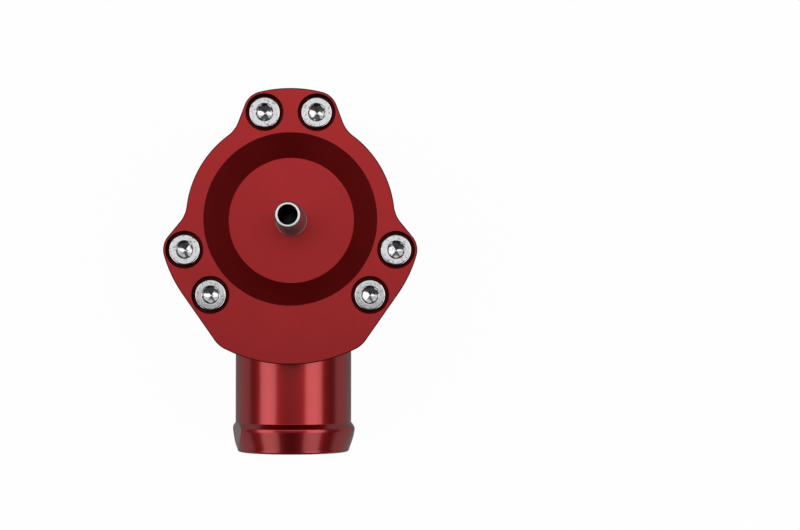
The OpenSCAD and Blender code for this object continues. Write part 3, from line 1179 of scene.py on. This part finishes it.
def pale_share(graph, seen, reflected):
    """How much of a pale backdrop a ray meets.

    One share is for rays from the camera, the other for reflected and transmitted rays.
    """
    camera = graph.node("ShaderNodeLightPath", out="Is Camera Ray")
    glossy = graph.node("ShaderNodeLightPath", out="Is Glossy Ray")
    through = graph.node("ShaderNodeLightPath", out="Is Transmission Ray")
    return (camera * seen).most(glossy.most(through) * reflected)


def add_floor(stage):
    """A wide flat floor under the screw tips: a disc of two rows about the valve axis."""
    level = cad_box[0][2] / MM
    reach = 2500.0
    points = about_axis(np.array([[0.0], [reach]]), angles(64), level)
    floor = piece_from_grids("floor", [points])
    material = bpy.data.materials.new("pale_floor")
    graph = Graph(material)
    speck = graph.noise(40.0, 3.0)
    card = graph.node(
        "ShaderNodeBsdfDiffuse",
        None,
        {"Color": graph.shades(speck, stage.floor, 0.99, 1.01)},
    )
    glow = graph.node("ShaderNodeEmission", None, {"Color": WHITE, "Strength": 1.04})
    mixed = graph.node(
        "ShaderNodeMixShader",
        None,
        {0: pale_share(graph, 0.93, 0.12), 1: card, 2: glow},
    )
    graph.node("ShaderNodeOutputMaterial", None, {"Surface": mixed})
    floor.data.materials.append(material)


def add_soft_box(name, place, aim, size, power):
    """A rectangular lamp that faces a point, its place and its width and length in metres."""
    data = bpy.data.lights.new(name, "AREA")
    data.shape = "RECTANGLE"
    data.size = size[0]
    data.size_y = size[1]
    data.energy = power
    data.spread = math.radians(130.0)
    lamp = add_object(name, data)
    lamp.matrix_world = facing(Vector(place), Vector(aim))
    lamp.visible_camera = False


def facing(place, aim):
    """A matrix at a place that looks along -Z at an aim, with its +Y as near to +Y as it can be."""
    ahead = (aim - place).normalized()
    right = ahead.cross(Vector((0, 1, 0))).normalized()
    upward = right.cross(ahead)
    turn = Matrix((right, upward, -ahead)).transposed()
    return Matrix.Translation(place) @ turn.to_4x4()


def add_world():
    """A dim studio room, brighter overhead and at the back, with a pale backdrop for the camera."""
    world = bpy.data.worlds.new("studio")
    graph = Graph(world)
    way = graph.node("ShaderNodeTexCoord", out="Generated")
    back = graph.part(way, "Y")
    rise = graph.part(way, "Z")
    shade = graph.node(
        "ShaderNodeValToRGB",
        {"stops": (
            (0.0, (0.09, 0.09, 0.09, 1.0)),
            (0.45, (0.04, 0.04, 0.04, 1.0)),
            (1.0, (0.10, 0.10, 0.10, 1.0)),
        )},
        {0: rise},
    )
    room = graph.node("ShaderNodeBackground", None, {"Color": shade, "Strength": 1.0 + back * 0.8})
    backdrop = graph.node("ShaderNodeBackground", None, {"Color": WHITE, "Strength": 0.985})
    mixed = graph.node(
        "ShaderNodeMixShader",
        None,
        {0: pale_share(graph, 1.0, 0.01), 1: room, 2: backdrop},
    )
    graph.node("ShaderNodeOutputWorld", None, {"Surface": mixed})
    bpy.context.scene.world = world


def add_camera(stage):
    """The camera above the valve, with the picture's up along +Y."""
    data = bpy.data.cameras.new("camera")
    data.sensor_width = 36.0
    data.lens = stage.lens
    data.clip_start = 0.01
    data.clip_end = 20.0
    camera = add_object("camera", data)
    place = Vector((18.85, -29.15, 568.48)) * MM
    aim = Vector((29.36, -12.35, 46.48)) * MM
    camera.matrix_world = facing(place, aim)
    bpy.context.scene.camera = camera


class VALVE_OT_stage(bpy.types.Operator):
    """Sets the pale floor, the three soft boxes, the dim room and the camera"""

    bl_idname = "valve.stage"
    bl_label = "Stage"

    def execute(self, context):
        stage = context.scene.valve_stage
        add_floor(stage)
        side_aim = (0.0, 0.0, 0.03)
        side_size = (0.55, 1.6)
        add_soft_box("soft_box_left", (-0.68, -0.1, 0.60), side_aim, side_size, stage.box_power)
        add_soft_box("soft_box_right", (0.60, -0.1, 0.68), side_aim, side_size, stage.box_power)
        top_aim = (0.0, 0.355, 0.0)
        top_size = (1.4, 0.73)
        add_soft_box("soft_box_top", (0.0, 0.355, 1.15), top_aim, top_size, stage.top_power)
        add_world()
        add_camera(stage)
        context.scene.view_settings.view_transform = "Standard"
        return {"FINISHED"}


OPERATORS = (
    VALVE_OT_housing,
    VALVE_OT_outlet_tube,
    VALVE_OT_nipple,
    VALVE_OT_screws,
    VALVE_OT_spring,
    VALVE_OT_piston,
    VALVE_OT_seals,
    VALVE_OT_stage,
)


class VALVE_PT_panel(bpy.types.Panel):
    """Lists the steps that dress the valve"""

    bl_idname = "VALVE_PT_panel"
    bl_label = "Blow off valve"
    bl_space_type = "VIEW_3D"
    bl_region_type = "UI"
    bl_category = "Valve"

    def draw(self, context):
        for operator in OPERATORS:
            self.layout.operator(operator.bl_idname)
        for group in (context.scene.valve_sizes, context.scene.valve_finish, context.scene.valve_stage):
            for name in group.__annotations__:
                self.layout.prop(group, name)


GROUPS = (ValveSizes, ValveFinish, ValveStage)


def register():
    """Adds the classes and hangs the three groups on the scene."""
    for kind in GROUPS + OPERATORS + (VALVE_PT_panel,):
        bpy.utils.register_class(kind)
    bpy.types.Scene.valve_sizes = PointerProperty(type=ValveSizes)
    bpy.types.Scene.valve_finish = PointerProperty(type=ValveFinish)
    bpy.types.Scene.valve_stage = PointerProperty(type=ValveStage)


def unregister():
    """Takes the groups and the classes away again."""
    del bpy.types.Scene.valve_stage
    del bpy.types.Scene.valve_finish
    del bpy.types.Scene.valve_sizes
    for kind in (VALVE_PT_panel,) + OPERATORS + GROUPS:
        bpy.utils.unregister_class(kind)


def main():
    """Makes the pieces and the stage in order."""
    register()
    bpy.ops.valve.housing()
    bpy.ops.valve.outlet_tube()
    bpy.ops.valve.nipple()
    bpy.ops.valve.screws()
    bpy.ops.valve.spring()
    bpy.ops.valve.piston()
    bpy.ops.valve.seals()
    bpy.ops.valve.stage()


if __name__ == "__main__":
    main()
